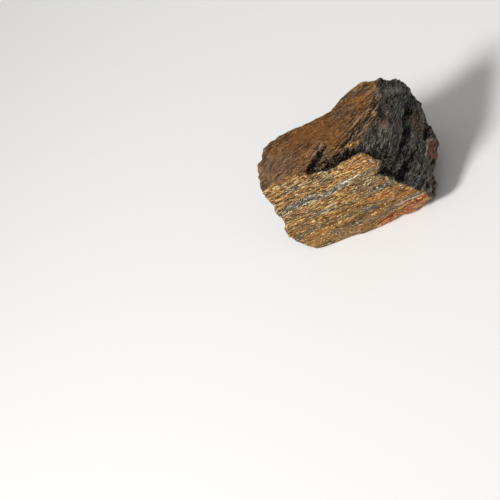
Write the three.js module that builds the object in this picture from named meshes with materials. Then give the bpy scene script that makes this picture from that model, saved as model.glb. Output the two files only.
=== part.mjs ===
// A hand sample of raw bronzite, an iron-bearing pyroxene that grows in long parallel fibres.
// The lump broke along and across its layers, so it is a rough block with six faces of its own:
// a golden fibrous front, a brown cleaved top, a charcoal fracture at one end, a splintered
// other end, a plain layered back and the flat cleavage that it rests on.
// Frame: +X along the fibres towards the dark end, +Y from the front to the back, +Z up.
import * as THREE from 'three';
import { mergeVertices } from 'three/addons/utils/BufferGeometryUtils.js';

// Driving dimensions, in millimetres
const HEIGHT = 28;
const DEPTH = 23;
// The top front corner at the dark end. Every face below is written as a distance from it:
// x runs from 0 to about -43, y from 0 to about 23 and z from 0 down to -HEIGHT.
const CORNER = new THREE.Vector3(21.4, -11.6, HEIGHT);
// Climb of the layers towards the dark end, and drift of the top's grain to the back, both per mm of x
const LAYER_RISE = 0.14;
const TOP_GRAIN = 0.45;

// Outlines, each a list of [where, how far] points
// Splintered end: x down the front edge (by z), and how much further the top edge reaches (by y)
const END_PROFILE = [[-28, -40.8], [-26.6, -41.4], [-25.6, -43.7], [-21.5, -43.4], [-18, -42.4],
  [-15.8, -41], [-14, -39.5], [-11, -38.7], [-9, -37.9], [-6.6, -36.2], [-3.2, -34.7], [0, -34]];
const END_POINT = [[0, 0], [3.2, -1], [6.6, -2.3], [9.5, -3.6], [12.2, -2], [14.5, 1]];
// Dark end: x down the front edge (by z), x of its top edge (by y), z of its foot (by y)
const DARK_PROFILE = [[-23, 0], [-19.5, 0.5], [-18, -0.3], [-16, -1.8], [-13.5, -2], [-10.3, -2.3],
  [-8.6, -3.4], [-7.4, -5], [-6, -2.8], [-3.8, -1], [-2.6, -0.4], [0, -0.4]];
const DARK_SHOULDER = [[0.6, 0], [1.4, -4.6], [2.4, -5.2], [3.8, -3.8], [6.8, -2.6], [8.6, -1.6], [9.8, 0]];
const DARK_FOOT = [[0, -22.9], [3, -24.2], [4.6, -24.5], [6, -22.9], [8, -21.7], [11, -22.7],
  [15.5, -22.6], [18.7, -19.4], [21, -16.6], [23, -15.8]];
// Back: y of its top edge and of its fullest line, both by x
const BACK_TOP = [[-37, 12], [-33.5, 14.2], [-28, 15.4], [-14, 16.6], [-10, 19.6], [-6, 21.2], [0, 20.8]];
const BACK_FULL = [[-42, 15], [-34, 18.5], [-20, 20.5], [-6, 22.8], [0, 23.6]];
// Base: height of the broken front edge and y where the back edge starts to rise, both by x
const FRONT_FOOT = [[-26, 0], [-17.6, 1.1], [-13, 2.3], [-11, 1.6], [-4.6, 3.5], [0, 5.2]];
const BACK_FOOT = [[-44, 13], [-20, 18.5], [-5, 19.5]];
// Top: z of the golden rim's crest and y of the splintered break behind it, both by x
const RIM_CREST = [[-18, -0.3], [-11, -0.4], [-6, 0.5], [-1.5, 1.1], [0, 0.6]];
const SPLINTER_LINE = [[-12, 3.4], [-8, 6.6], [-3.8, 9.5], [-1.7, 12.1], [0, 16]];

// Reliefs cut into the faces or standing out of them
const SLAB = { thickness: 2.2, length: 10, depth: 0.32 };
const LEAF = { thickness: 0.95, length: 6, depth: 0.14 };
const TOOTH = { thickness: 2.3, length: 5, depth: 0.6 };
const RIM = { stands: 0.45, bottom: -7.5 };
const STRIP = { top: -22.3, lean: 0.36 };
const FURROW_LINE = [[3, -9.8], [6, -10.4], [10, -11.4], [14, -12], [20, -11]];
const FURROW = { depth: 2.6, halfWidth: 2.3 };
const LOBES = [{ z: -4.5, half: 5, stands: 1.1 }, { z: -15, half: 4, stands: 0.7 }];
const KNOB = { y: 12, z: -22, halfY: 5, halfZ: 2.5, stands: 0.5 };
const PLATE = { height: 1.9, edgeX: -18.2, slant: 0.6, soft: 0.4 };
const PIT = { depth: 1.5, offset: 1.2, halfWidth: 1.6, tipY: 8.5 };
const GROOVE = { depth: 2, y: 1.9, halfWidth: 1.7 };
const BREAK = { depth: 0.8, soft: 0.4 };

// Cells along X, Y and Z of the box that the stone is shaped from
const CELLS = [34, 22, 30];
// Power by which the top's relief dies away below it, so that the front's layers stay straight
const RELIEF_FADE = 8;

const mix = THREE.MathUtils.lerp;

/** Smooth step from 0 at `from` to 1 at `to`, in either direction. */
function ramp(from, to, t) {
  const s = THREE.MathUtils.clamp((t - from) / (to - from), 0, 1);
  return s * s * (3 - 2 * s);
}

/** Smooth hump of height 1 at `middle` that ends `half` away from it. */
function hump(middle, half, t) {
  return ramp(half, 0, Math.abs(t - middle));
}

/** Straight lines through an outline's points, level beyond its ends. */
function through(points, t) {
  const next = points.findIndex(([at]) => at > t);
  if (next === 0) return points[0][1];
  if (next < 0) return points[points.length - 1][1];
  const [t0, v0] = points[next - 1];
  const [t1, v1] = points[next];
  return mix(v0, v1, (t - t0) / (t1 - t0));
}

/** Repeatable scatter value from -1 to 1 for a pair of whole numbers. */
function scatter(i, j, seed) {
  let n = Math.imul(i, 374761393) + Math.imul(j, 668265263) + Math.imul(seed, 69069);
  n = Math.imul(n ^ (n >>> 13), 1274126177);
  return ((n ^ (n >>> 16)) >>> 0) / 2147483648 - 1;
}

/** Scatter values joined smoothly along q; along p they hold level and change in a short riser. */
function slabs(p, q, seed, riser = 1) {
  const i = Math.floor(p);
  const j = Math.floor(q);
  const a = ramp(0.5 - riser / 2, 0.5 + riser / 2, p - i);
  const b = ramp(0, 1, q - j);
  const near = mix(scatter(i, j, seed), scatter(i, j + 1, seed), b);
  const far = mix(scatter(i + 1, j, seed), scatter(i + 1, j + 1, seed), b);
  return mix(near, far, a);
}

/** Height of a point above its layer's own zero. */
function layer(x, z) {
  return z - LAYER_RISE * x;
}

/** x of the splintered end, which leans out downwards in layer-thick teeth. */
function splinteredEnd(y, z) {
  const front = through(END_PROFILE, z);
  const point = through(END_POINT, y) * ramp(-20, -1, z);
  const backCut = 5 * ramp(13, 20, y) * ramp(-8, -24, z);
  const teeth = TOOTH.depth * slabs(layer(front, z) / TOOTH.thickness, y / TOOTH.length, 11, 0.3);
  return front + point + backCut + teeth * ramp(0, 2, y);
}

/** x of the dark end: lobes and a deep furrow that run along Y, with a rough skin. */
function darkEnd(y, z) {
  const furrow = hump(through(FURROW_LINE, y), FURROW.halfWidth, z) * ramp(1.5, 5, y) * ramp(20.5, 16, y);
  const lobes = LOBES.reduce((sum, lobe) => sum + lobe.stands * hump(lobe.z, lobe.half, z), 0);
  const knob = KNOB.stands * hump(KNOB.z, KNOB.halfZ, z) * hump(KNOB.y, KNOB.halfY, y);
  const shoulder = through(DARK_SHOULDER, y) * ramp(-4.5, -0.3, z);
  const frontEdge = through(DARK_PROFILE, z) * ramp(4, 0, y);
  const backCut = -1.2 * ramp(18, DEPTH, y);
  const rough = 0.5 * slabs(z / 2.1, y / 4, 21, 0.6) + 0.5 * slabs(z / 3.6, y / 2.9, 22);
  const form = lobes + knob - FURROW.depth * furrow + shoulder + frontEdge + backCut;
  return form + rough * ramp(0, 3, y);
}

/** y of the golden front: flat slabs one above the other, and a strip leaning under at the foot. */
function goldFace(x, z) {
  const level = layer(x, z);
  const slab = SLAB.depth * slabs(level / SLAB.thickness, x / SLAB.length, 31, 0.3);
  const leaf = LEAF.depth * slabs(level / LEAF.thickness, x / LEAF.length, 32, 0.4);
  const rim = -RIM.stands * ramp(-15, -8, x) * ramp(RIM.bottom, RIM.bottom + 2, level);
  const strip = STRIP.lean * Math.max(0, STRIP.top - level) * ramp(-24, -16, x);
  return slab + leaf + rim + strip;
}

/** y of the plain back, which leans out below the top edge. */
function backFace(x, z) {
  const slab = 0.4 * slabs(layer(x, z) / 2.6, x / 9, 41, 0.35);
  return mix(through(BACK_FULL, x), through(BACK_TOP, x), ramp(-9, 0, z)) + slab * ramp(0, -3, z);
}

/** z of the base: flat at -HEIGHT, with its edges broken away all round. */
function flatBase(x, y) {
  const underDarkEnd = HEIGHT + through(DARK_FOOT, y) + x;
  const underFront = through(FRONT_FOOT, x) - y;
  const underBack = 0.8 * (y - through(BACK_FOOT, x));
  const underEnd = 1.2 * (-41.6 - x);
  return -HEIGHT + Math.max(0, underDarkEnd, underFront, underBack, underEnd);
}

/** z of the brown top: a raised plate, the pit at its edge and the groove behind the golden rim. */
function brownFace(x, y) {
  const acrossGrain = (y - TOP_GRAIN * x) / Math.hypot(1, TOP_GRAIN);
  const steps = 0.3 * slabs(acrossGrain / 2.4, x / 9, 51, 0.35) + 0.25 * slabs(acrossGrain / 6, x / 6, 52);
  const plateEdge = PLATE.edgeX + PLATE.slant * y;
  const lowSide = ramp(plateEdge - PLATE.soft, plateEdge + PLATE.soft, x);
  const plate = PLATE.height * ramp(-34.5, -27, x) * ramp(15, 5, y);
  const pit = PIT.depth * hump(plateEdge + PIT.offset, PIT.halfWidth, x) * ramp(PIT.tipY, PIT.tipY - 3, y);
  const groove = GROOVE.depth * hump(GROOVE.y, GROOVE.halfWidth, y) * ramp(-18, -15, x) * ramp(0.5, -3, x);
  const breakY = through(SPLINTER_LINE, x);
  const splinters = BREAK.depth * ramp(breakY + BREAK.soft, breakY - BREAK.soft, y) * ramp(-13, -9, x);
  const behindRim = mix(through(RIM_CREST, x), steps - splinters - groove, ramp(0.6, 1.2, y));
  return mix(plate + steps, behindRim, lowSide) - pit;
}

/** Moves a point of the unit box to the stone, one direction after another. */
function shapePoint(point) {
  const [u, v, w] = point.toArray().map((part) => part + 0.5);
  const xGuess = mix(-38, 0, u);
  const yGuess = v * backFace(xGuess, mix(-HEIGHT, 0, w));
  const zGuess = mix(flatBase(xGuess, yGuess), 0, w);
  const x = mix(splinteredEnd(yGuess, zGuess), darkEnd(yGuess, zGuess), u);
  const y = mix(goldFace(x, zGuess), backFace(x, zGuess), v);
  const z = mix(flatBase(x, y), 0, w) + brownFace(x, y) * w ** RELIEF_FADE;
  return point.set(x, y, z).add(CORNER);
}

/** One closed skin: a box cut into cells, its corners shared, then shaped. */
function stoneGeometry() {
  const box = new THREE.BoxGeometry(1, 1, 1, ...CELLS);
  box.deleteAttribute('normal');
  box.deleteAttribute('uv');
  const skin = mergeVertices(box);
  const position = skin.getAttribute('position');
  const point = new THREE.Vector3();
  for (let i = 0; i < position.count; i += 1) {
    shapePoint(point.fromBufferAttribute(position, i));
    position.setXYZ(i, point.x, point.y, point.z);
  }
  skin.computeVertexNormals();
  return skin;
}

const bronzite = new THREE.MeshStandardMaterial({ color: 0x8a6640, roughness: 0.55, metalness: 0.1 });

const stone = new THREE.Mesh(stoneGeometry(), bronzite);
stone.name = 'stone';

const sample = new THREE.Group();
sample.add(stone);

export default sample;
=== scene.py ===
import math

import bpy
import numpy as np
from mathutils import Matrix, Vector


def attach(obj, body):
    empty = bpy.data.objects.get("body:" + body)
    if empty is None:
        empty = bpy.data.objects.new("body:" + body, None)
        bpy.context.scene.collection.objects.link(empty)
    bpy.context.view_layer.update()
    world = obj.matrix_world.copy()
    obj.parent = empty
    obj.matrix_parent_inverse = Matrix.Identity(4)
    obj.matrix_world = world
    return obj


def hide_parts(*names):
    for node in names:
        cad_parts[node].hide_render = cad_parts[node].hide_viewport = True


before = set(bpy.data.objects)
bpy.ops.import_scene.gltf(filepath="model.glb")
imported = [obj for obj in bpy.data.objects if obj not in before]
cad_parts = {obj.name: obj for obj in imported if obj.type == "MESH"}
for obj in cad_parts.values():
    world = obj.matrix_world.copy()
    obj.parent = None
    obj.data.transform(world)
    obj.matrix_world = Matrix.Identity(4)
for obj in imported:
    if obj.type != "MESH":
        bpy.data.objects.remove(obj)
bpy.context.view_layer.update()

# ---------------------------------------------------------------- the camera
# A long lens looks down on the corner where the golden front, the brown top and the dark end meet,
# rolled so that the fibres climb gently across the frame. Lengths are in millimetres until the last
# step, which turns them into metres.
MM = 0.001
FILM_WIDTH = 36
LENS = 125
CAMERA_DISTANCE = 394.6
CAMERA_AZIMUTH = 56.07
CAMERA_ELEVATION = 36.19
CAMERA_ROLL = -59.44
AIM = Vector((-3.44, -33.59, 36.86))


def looking_from(azimuth, elevation, roll=0):
    """Turn of a camera or lamp whose back points to an azimuth from -Y and an elevation: it first lies
    level facing +Y, is rolled about its own line of sight, then tipped and swung round."""
    level = Matrix.Rotation(math.radians(90 - elevation), 3, "X")
    swing = Matrix.Rotation(math.radians(azimuth), 3, "Z")
    return swing @ level @ Matrix.Rotation(math.radians(roll), 3, "Z")


def stand_back(item, target, distance, azimuth, elevation, roll=0):
    """Places an object so that it looks at the target from a distance."""
    turn = looking_from(azimuth, elevation, roll)
    place = (target + turn @ Vector((0, 0, distance))) * MM
    item.matrix_world = Matrix.Translation(place) @ turn.to_4x4()
    bpy.context.scene.collection.objects.link(item)


lens = bpy.data.cameras.new("camera")
lens.sensor_width = FILM_WIDTH
lens.lens = LENS
camera = bpy.data.objects.new("camera", lens)
stand_back(camera, AIM, CAMERA_DISTANCE, CAMERA_AZIMUTH, CAMERA_ELEVATION, CAMERA_ROLL)
bpy.context.scene.camera = camera

# ---------------------------------------------------------------- the stone: its broken faces
# One lump of bronzite, a pyroxene grown in long parallel fibres that part into slabs and leaves. It
# was broken out of its rock, so each face shows how the fibres part there: combed flat along them in
# front, cleaved between them on top, snapped across them at both ends.
HEIGHT = 28
DEPTH = 23
CORNER = np.array([21.4, -11.6, HEIGHT])
ROUGH_LENGTH = 38

# For each unit of x: how far the layers climb, and how far the top's grain and splinters run sideways.
LAYER_RISE = 0.14
TOP_GRAIN = 0.45
SPLINTER_GRAIN = 0.9

# Powers of the share of the way to a face by which its large form and its skin die away inwards.
FORM_FADE = 8
SKIN_FADE = 16

# Outlines: a place and the value there for every point, counted from the corner where the front, the
# top and the dark end meet. x is negative towards the splintered end, y runs from front to back, and
# z is negative downwards.

# Front edge of the splintered end: z, x. How far its point at the top adds to it: y, x.
END_PROFILE = [
    [-28, -40.8], [-26.6, -41.4], [-25.6, -43.7], [-21.5, -43.4], [-18, -42.4], [-15.8, -41],
    [-14, -39.5], [-11, -38.7], [-9, -37.9], [-6.6, -36.2], [-3.2, -34.7], [0, -34]]
END_POINT = [[0, 0], [3.2, -1], [6.6, -2.3], [9.5, -3.6], [12.2, -2], [14.5, 1]]
# The dark end's front edge: z, x. Its shoulder at the top: y, x. Its lower edge: y, z.
DARK_PROFILE = [
    [-23, 0], [-19.5, 0.5], [-18, -0.3], [-16, -1.8], [-13.5, -2], [-10.3, -2.3], [-8.6, -3.4],
    [-7.4, -5], [-6, -3.7], [-4.6, -2.3], [-3.2, -1.2], [-1.5, -0.5], [0, -0.8]]
DARK_SHOULDER = [[0.6, 0], [1.4, -4.6], [2.4, -5.2], [3.8, -3.8], [6.8, -2.6], [8.6, -1.6], [9.8, 0]]
DARK_FOOT = [
    [0, -22.9], [3, -24.2], [4.6, -24.5], [6, -22.5], [7.6, -20.9], [9.6, -22.6], [12, -23.1],
    [13.2, -22.7], [15, -23.2], [16.4, -22.2], [18.4, -18.9], [21, -16.4], [23, -15.8]]
# The furrow across the dark end: y, z.
FURROW_LINE = [[1, -8.8], [3, -9.2], [6, -9.9], [10, -10.6], [14, -11], [17, -11], [20, -10.2]]
# Top edge and fullest line of the back, and the lower edges of front and back: x, y.
BACK_TOP = [[-37, 12], [-33.5, 14.2], [-28, 15.4], [-14, 16.6], [-10, 19.6], [-6, 21.2], [0, 20.8]]
BACK_FULL = [[-42, 15], [-34, 18.5], [-20, 20.5], [-6, 22.8], [0, 23.6]]
FRONT_FOOT = [[-26, 0], [-17.6, 1.1], [-13, 2.3], [-11, 1.6], [-4.6, 3.5], [0, 5.2]]
BACK_FOOT = [[-44, 13], [-20, 18.5], [-5, 19.5]]
# Crest of the golden rim: x, z. Upper edge of the rusty strip at the foot of the front: x, level.
RIM_CREST = [[-20, 0.5], [-17.5, 0.1], [-11, -0.4], [-6, 0.5], [-1.5, 1.1], [0, 0.6]]
STRIP_TOP = [[-24, -24.5], [-19.5, -22.9], [-15, -22.0], [-10, -21.4], [-5, -20.7], [0, -20.2]]
# The crevice's edges, the raised plate's own and the one towards the dark end: y, x.
PLATE_EDGE = [
    [0, -19.2], [1.3, -18.9], [2.8, -17.9], [3.7, -17.3], [4.1, -17.1], [4.6, -16.3], [5.8, -15.6],
    [6.8, -14.8], [7.8, -14.5], [10, -14], [16, -11]]
SLIT_RIGHT = [
    [0.4, -18.5], [1.4, -18.2], [2.2, -17.7], [3.1, -17], [4.1, -16.3], [5.1, -15.6], [6, -15.1],
    [6.8, -14.7]]
# Back edges of the groove behind the rim and of the splintered break: x, y.
GROOVE_EDGE = [[-17.8, 1.9], [-15.5, 2.5], [-12.5, 3.6], [-10, 3.8], [-7.5, 4], [-4.3, 3.6], [0, 3.9]]
SPLINTER_LINE = [[-12, 3.4], [-8, 6.6], [-3.8, 9.5], [-1.7, 12.1], [0, 16]]


def mix(a, b, share):
    """a at share 0, b at share 1, straight between."""
    return a + (b - a) * share


def ramp(start, end, t):
    """0 at start and 1 at end, by 3s^2 - 2s^3 of the share s of the way between them."""
    s = np.clip((t - start) / (end - start), 0, 1)
    return s * s * (3 - 2 * s)


def hump(middle, half, t):
    """A ramp up to 1 at the middle and down again, ending half away on either side."""
    return ramp(half, 0, np.abs(t - middle))


def through(points, t):
    """Straight lines through an outline's points, level beyond its ends."""
    at, value = np.array(points, float).T
    return np.interp(t, at, value)


def scatter(i, j, seed):
    """Repeatable value from -1 to 1 for pairs of whole numbers: they are multiplied by large odd
    numbers and folded onto themselves by shifts, in 32 bits."""
    i, j = (np.asarray(k).astype(np.int64).astype(np.uint32) for k in (i, j))
    n = i * np.uint32(374761393) + j * np.uint32(668265263) + np.uint32(seed * 69069)
    n = (n ^ (n >> np.uint32(13))) * np.uint32(1274126177)
    return (n ^ (n >> np.uint32(16))) / 2147483648 - 1


def slabs(p, q, seed, riser=1.0):
    """Scatter values of the cells of a (p, q) grid, joined smoothly along q; along p each holds level
    and changes to the next in a riser, a share of the cell wide."""
    i, j = np.floor(p), np.floor(q)
    a = ramp(0.5 - riser / 2, 0.5 + riser / 2, p - i)
    b = ramp(0, 1, q - j)
    near = mix(scatter(i, j, seed), scatter(i, j + 1, seed), b)
    far = mix(scatter(i + 1, j, seed), scatter(i + 1, j + 1, seed), b)
    return mix(near, far, a)


def relief(p, q, rows):
    """Sum of slabs of several sizes. A row has their height, their sizes along p and q, the scatter's
    seed and the riser."""
    return sum(
        height * slabs(p / p_size, q / q_size, seed, riser)
        for height, p_size, q_size, seed, riser in rows)


def wander(t, height, size, seed, riser=1.0):
    """A wavering line: one row of slabs of that height and size along t."""
    return height * slabs(t / size, 0 * t, seed, riser)


def layer(x, z):
    """Height of a point above its layer's own zero, as the layers climb towards the dark end."""
    return z - LAYER_RISE * x


# Depth of the cut at the splintered end's back, and x where its layers are counted.
BACK_CUT = 5
LEVELS_AT = -40

# Rows of relief: height, size along the first place, size along the second, seed, riser.
END_TEETH = [[0.6, 2.3, 5, 11, 0.3]]
LEVEL_WANDER = [[0.9, 3.1, 4, 14, 1]]
SPLINTER_ENDS = [[0.3, 0.7, 1.2, 13, 0.5], [0.12, 0.35, 0.7, 15, 1], [0.45, 1.5, 2.6, 12, 0.25]]


def splintered_end(y, z):
    """x of the splintered end: the front edge's profile, plus its point at the top, cut away low at
    the back, plus a tooth for each layer."""
    front = through(END_PROFILE, z)
    point = through(END_POINT, y) * ramp(-20, -1, z)
    back_cut = BACK_CUT * ramp(13, 20, y) * ramp(-8, -24, z)
    teeth = relief(layer(front, z), y, END_TEETH)
    return front + point + back_cut + teeth * ramp(0, 2, y)


def splinters(y, z):
    """Splinter ends on the splintered end: three sizes of slab, longer across the layers, over levels
    that wander so that no two are as thick."""
    level = layer(LEVELS_AT, z) + relief(z, y, LEVEL_WANDER)
    return relief(level, y, SPLINTER_ENDS) * ramp(-0.3, 1.5, y)


# Lobes of the dark end: z of the middle, half height, how far it stands out.
END_LOBES = [[-4.8, 5.4, 1.3], [-15, 4, 0.7]]
KNOB_OUT = 0.6
FURROW_DEPTH = 2.2
LOWER_BACK_CUT = 1.6
UPPER_BACK_OUT = 0.9
END_ROUGHNESS = [[0.5, 2.1, 4, 21, 0.6], [0.5, 3.6, 2.9, 22, 1]]
MAT_LEAN = 0.22
MAT_WANDER = [[0.5, 2.2, 3, 27, 1]]
MAT_LUMPS = [[0.24, 1.4, 3.4, 23, 1], [0.17, 0.7, 2.6, 24, 1]]
WHISKER_HEIGHT = 0.24
PIT_DEPTH = 1.9


def dark_end(y, z):
    """x of the dark end: two lobes and a knob out, a furrow in, steep on the upper lobe's side, the
    shoulder, the front edge and the lower back cut away, and a rough skin of two sizes of lump."""
    below_line = through(FURROW_LINE, y) + wander(y, 0.7, 1.7, 28, 0.6) - z
    furrow = np.where(below_line < 0, ramp(-1.2, 0, below_line), ramp(1.5, 0, below_line))
    furrow = furrow * mix(0.45, 1, ramp(3, 9, y)) * ramp(0, 2, y) * ramp(21.5, 17, y)
    lobes = sum(height * hump(middle, half, z) for middle, half, height in END_LOBES)
    knob = KNOB_OUT * hump(-22.5, 2.4, z) * (hump(15.4, 2.4, y) + hump(10.4, 2.8, y))
    shoulder = through(DARK_SHOULDER, y) * ramp(-4.5, -0.3, z)
    front_edge = through(DARK_PROFILE, z) * ramp(4, 0, y)
    back_cut = -LOWER_BACK_CUT * ramp(19, DEPTH, y) * ramp(-11, -14.5, z)
    back_out = UPPER_BACK_OUT * ramp(17, 21, y) * hump(-8, 4.5, z)
    form = lobes + knob - FURROW_DEPTH * furrow + shoulder + front_edge + (back_cut + back_out)
    return form + relief(z, y, END_ROUGHNESS) * ramp(0, 3, y)


def clinker(y, z):
    """Rough skin of the dark end: matted lumps and whiskers, both longer along y and leaning, and
    pits where the scatter runs high; calmer on the broken facet at the foot."""
    lean = z + MAT_LEAN * y + relief(z, y, MAT_WANDER)
    lumps = relief(lean, y, MAT_LUMPS)
    whiskers = WHISKER_HEIGHT * (1 - np.abs(slabs(lean / 0.62, y / 3.2, 25))) ** 3
    pits = -PIT_DEPTH * np.maximum(0, slabs(z / 1.2, y / 2.2, 26) - 0.45)
    facet = hump(11.9, 3.2, y) * hump(-20.6, 2.8, z)
    return (lumps + whiskers + pits) * (1 - 0.8 * facet)


RIM_OUT = 0.45
STRIP_LEAN = 0.3
TIP_OUT = 0.6
FRONT_SLABS = [[0.32, 2.2, 10, 31, 0.3], [0.14, 0.95, 6, 32, 0.4]]
FIBRE_WANDER = [[0.25, 7, 6, 33, 1]]
FIBRE_LEAVES = [[0.11, 0.62, 6, 34, 0.3], [0.08, 0.33, 3.6, 35, 0.7]]
LEAF_END_HEIGHT = 0.06
PARTING_DEPTH = 0.25


def gold_face(x, z):
    """y of the golden front: slabs and leaves by layer, the top rim and the point's tip standing out,
    and the strip at the foot leaning under."""
    level = layer(x, z)
    rim = -RIM_OUT * ramp(-15, -8, x) * ramp(-7.5, -5.5, level)
    strip = STRIP_LEAN * np.maximum(0, through(STRIP_TOP, x) - 0.3 - level) * ramp(-24, -16, x)
    tip = -TIP_OUT * ramp(-33, -39, x) * ramp(-25, -28, z)
    return relief(level, x, FRONT_SLABS) + rim + strip + tip


def fibres(x, z):
    """Combed skin of the golden front: thin leaves and fibres by layer, their broken ends across
    them, and sharp partings between some leaves."""
    level = layer(x, z) + relief(x, z, FIBRE_WANDER)
    ends = LEAF_END_HEIGHT * slabs(x / 2.7 + 0.9 * level, level / 0.8, 36, 0.15)
    parting = np.abs(slabs(level / 1.3, x / 8, 37))
    return relief(level, x, FIBRE_LEAVES) + ends + PARTING_DEPTH * ramp(0.09, 0, parting)


# Grooves between leaves on the golden front: x and z of both ends, half width, depth.
FRONT_GROOVES = [
    [2.0, -20.8, -8.0, -23.0, 0.32, 0.3], [-5.0, -22.2, -16.5, -25.5, 0.32, 0.32],
    [-12.0, -24.4, -22.0, -26.6, 0.3, 0.25], [-2.0, -22.1, -9.0, -24.2, 0.2, 0.1],
    [-7.9, -7.5, -3.2, -7.1, 0.34, 0.45], [-38.5, -6.1, -31.0, -5.1, 0.32, 0.35],
    [-32.5, -5.1, -25.5, -4.0, 0.2, 0.2], [-26.5, -7.0, -21.5, -6.6, 0.25, 0.25],
    [-27.5, -2.3, -20.5, -0.9, 0.2, 0.3], [-26.5, -22.7, -19.8, -21.6, 0.25, 0.25],
    [-2.0, -12.2, -12.0, -14.6, 0.22, 0.2], [-6.0, -18.6, -17.0, -20.6, 0.2, 0.2],
    [-22.0, -12.4, -33.0, -14.8, 0.22, 0.2],
]

# Rise of the slopes under the back and the splintered end, and x where the second one starts.
BACK_SLOPE = 0.8
END_SLOPE = 1.2
END_FOOT = -41.6
BACK_SLABS = [[0.45, 2.6, 9, 41, 0.35], [0.25, 1.1, 4.5, 42, 0.35]]
BASE_TEAR = [[0.35, 2.4, 1.7, 43, 0.5], [0.2, 1.1, 0.9, 44, 0.6]]


def back_face(x, z):
    """y of the plain back: from its fullest line up to the top edge, with slabs by layer."""
    slab = relief(layer(x, z), x, BACK_SLABS)
    return mix(through(BACK_FULL, x), through(BACK_TOP, x), ramp(-9, 0, z)) + slab * ramp(0, -3, z)


def flat_base(x, y):
    """z of the base: the highest of the flat cleavage and four torn slopes where its edges broke off."""
    under_dark_end = HEIGHT + through(DARK_FOOT, y) + x
    under_front = through(FRONT_FOOT, x) - y
    under_back = BACK_SLOPE * (y - through(BACK_FOOT, x))
    under_end = END_SLOPE * (END_FOOT - x)
    slopes = np.maximum.reduce([under_dark_end, under_front, under_back, under_end])
    return -HEIGHT + np.maximum(0, slopes + relief(x, y, BASE_TEAR) * ramp(0.2, 1.6, slopes))


def across_grain(x, y, slope):
    """Distance across a grain that runs slope sideways for each unit of x."""
    return (y - slope * x) / math.hypot(1, slope)


def along_grain(x, y, slope):
    """Distance along such a grain."""
    return (x + slope * y) / math.hypot(1, slope)


def plate_edge(y):
    """x of the raised plate's edge, which is torn in steps."""
    return through(PLATE_EDGE, y) + wander(y, 0.2, 0.8, 76, 0.5) * ramp(0, 1, y)


def low_side(x, y):
    """0 on the raised plate and 1 on the low side of the crevice: a sheer edge up to the crevice's
    tip, and a slope that widens beyond it."""
    edge = plate_edge(y)
    reach = mix(0.28, 3.5, ramp(6.8, 10, y))
    return ramp(edge - reach, edge + reach, x)


def slit(x, y):
    """The crevice's own depth, 0 to 1: sheer at the plate's edge and easing up on the low side."""
    wall = ramp(-0.35, 0.15, x - plate_edge(y))
    rise = ramp(0.9, 0, x - through(SLIT_RIGHT, y))
    return wall * rise * ramp(7, 5.6, y)


def inside_groove(x, y):
    """Distance from the groove's back edge, which wanders, towards the front."""
    return through(GROOVE_EDGE, x) + wander(x, 0.4, 2.3, 58, 0.5) - y


PLATE_HEIGHT = 1.9
LIP_DROOP = 0.6
LIP_END_DROOP = 0.3
SLIT_DEPTH = 0.6
BREAK_DEPTH = 0.8
LOWER_WALL = 1.2
TOP_STEPS = [[0.3, 2.4, 9, 51, 0.35], [0.25, 6, 6, 52, 1]]
WALL_SPLITS = [[0.3, 0.36, 1.3, 59, 0.3]]


def brown_face(x, y):
    """z of the brown top: steps across the grain and a plate with a drooping lip on one side of the
    crevice; on the other the rim's crest, the groove behind it and the splintered break; less the
    crevice itself. The groove's wall falls in two steps and is split along the fibres."""
    steps = relief(across_grain(x, y, TOP_GRAIN), x, TOP_STEPS)
    edge = plate_edge(y)
    droop = LIP_DROOP + LIP_END_DROOP * hump(6.8, 1.6, y)
    lip = droop * ramp(-2.2, -0.3, x - edge) * ramp(9, 6, y)
    plate = PLATE_HEIGHT * ramp(-34.5, -27, x) * ramp(15, 5, y) * (1 - lip)
    inward = inside_groove(x, y)
    splits = relief(inward, x, WALL_SPLITS) * ramp(-0.2, 0.3, inward)
    wall = ramp(0, 0.5, inward) + LOWER_WALL * ramp(0.5, 1.2, inward) + splits
    groove = wall * ramp(-18.2, -16.8, x)
    break_y = through(SPLINTER_LINE, x)
    broken = BREAK_DEPTH * ramp(break_y + 0.4, break_y - 0.4, y) * ramp(-13, -9, x)
    behind_rim = mix(through(RIM_CREST, x), steps - broken - groove, ramp(0.6, 1.2, y))
    crevice = SLIT_DEPTH * slit(x, y) * ramp(0.3, 1.4, y)
    return mix(plate + steps, behind_rim, low_side(x, y)) - crevice


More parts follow.
